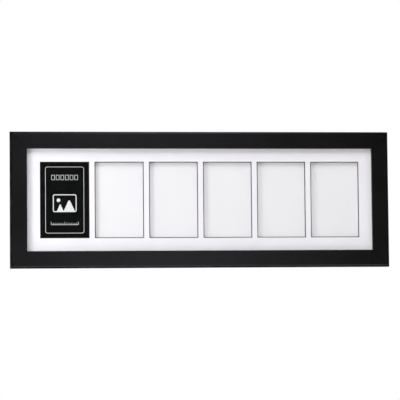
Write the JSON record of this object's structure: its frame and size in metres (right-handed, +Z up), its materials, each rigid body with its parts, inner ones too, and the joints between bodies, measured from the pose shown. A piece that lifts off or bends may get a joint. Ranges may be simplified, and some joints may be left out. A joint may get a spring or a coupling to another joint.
{
  "type": "collage photo frame",
  "caption": "Horizontal mitred picture frame with glass, a mat of bevel-cut portrait windows in a row, a backing board held by flexible points, and sawtooth hangers.",
  "frame": {"origin": "on the wall plane, midway between the two hangers, at the height of the notches that hang on the nails", "axes": "+X along the frame to the viewer's right, +Y from the viewer towards the wall, +Z up"},
  "size_m": [0.7112, 0.0221, 0.254],
  "materials": {
    "black_paint": "black satin paint",
    "glass": "clear float glass",
    "white_mat": "white mat board, dark core",
    "black_card": "printed card",
    "white_foam": "white foam board",
    "white_board": "white-faced board",
    "point_steel": "zinc-plated steel",
    "v_nail_steel": "bright steel",
    "hanger_brass": "brass-plated steel",
    "nail_brass": "brass-plated steel",
    "bumper_rubber": "black rubber"
  },
  "bodies": {
    "frame": {"top_rail": "black_paint", "bottom_rail": "black_paint", "left_stile": "black_paint", "right_stile": "black_paint", "corner_v_nails": "v_nail_steel", "glass_pane": "glass", "mat_board": "white_mat", "insert_card": "black_card", "spacer_frame": "white_foam", "backing_board": "white_board", "flex_point_roots": "point_steel", "hanger_left": "hanger_brass", "hanger_right": "hanger_brass", "hanger_nails": "nail_brass", "bumper_left": "bumper_rubber", "bumper_right": "bumper_rubber"},
    "flex_point_top_1": {"flex_point_top_1": "point_steel"},
    "flex_point_top_2": {"flex_point_top_2": "point_steel"},
    "flex_point_top_3": {"flex_point_top_3": "point_steel"},
    "flex_point_top_4": {"flex_point_top_4": "point_steel"},
    "flex_point_bottom_1": {"flex_point_bottom_1": "point_steel"},
    "flex_point_bottom_2": {"flex_point_bottom_2": "point_steel"},
    "flex_point_bottom_3": {"flex_point_bottom_3": "point_steel"},
    "flex_point_bottom_4": {"flex_point_bottom_4": "point_steel"},
    "flex_point_left": {"flex_point_left": "point_steel"},
    "flex_point_right": {"flex_point_right": "point_steel"}
  },
  "joints": [
    {"name": "flex_point_top_1_bend", "type": "hinge", "parent": "frame", "child": "flex_point_top_1", "pos_m": [-0.2475, -0.00475, -0.00975], "axis": [1, 0, 0], "range_deg": [0, 90]},
    {"name": "flex_point_top_2_bend", "type": "hinge", "parent": "frame", "child": "flex_point_top_2", "pos_m": [-0.0825, -0.00475, -0.00975], "axis": [1, 0, 0], "range_deg": [0, 90]},
    {"name": "flex_point_top_3_bend", "type": "hinge", "parent": "frame", "child": "flex_point_top_3", "pos_m": [0.0825, -0.00475, -0.00975], "axis": [1, 0, 0], "range_deg": [0, 90]},
    {"name": "flex_point_top_4_bend", "type": "hinge", "parent": "frame", "child": "flex_point_top_4", "pos_m": [0.2475, -0.00475, -0.00975], "axis": [1, 0, 0], "range_deg": [0, 90]},
    {"name": "flex_point_bottom_1_bend", "type": "hinge", "parent": "frame", "child": "flex_point_bottom_1", "pos_m": [-0.2475, -0.00475, -0.21425], "axis": [-1, 0, 0], "range_deg": [0, 90]},
    {"name": "flex_point_bottom_2_bend", "type": "hinge", "parent": "frame", "child": "flex_point_bottom_2", "pos_m": [-0.0825, -0.00475, -0.21425], "axis": [-1, 0, 0], "range_deg": [0, 90]},
    {"name": "flex_point_bottom_3_bend", "type": "hinge", "parent": "frame", "child": "flex_point_bottom_3", "pos_m": [0.0825, -0.00475, -0.21425], "axis": [-1, 0, 0], "range_deg": [0, 90]},
    {"name": "flex_point_bottom_4_bend", "type": "hinge", "parent": "frame", "child": "flex_point_bottom_4", "pos_m": [0.2475, -0.00475, -0.21425], "axis": [-1, 0, 0], "range_deg": [0, 90]},
    {"name": "flex_point_left_bend", "type": "hinge", "parent": "frame", "child": "flex_point_left", "pos_m": [-0.33085, -0.00475, -0.112], "axis": [0, 0, 1], "range_deg": [0, 90]},
    {"name": "flex_point_right_bend", "type": "hinge", "parent": "frame", "child": "flex_point_right", "pos_m": [0.33085, -0.00475, -0.112], "axis": [0, 0, -1], "range_deg": [0, 90]}
  ]
}
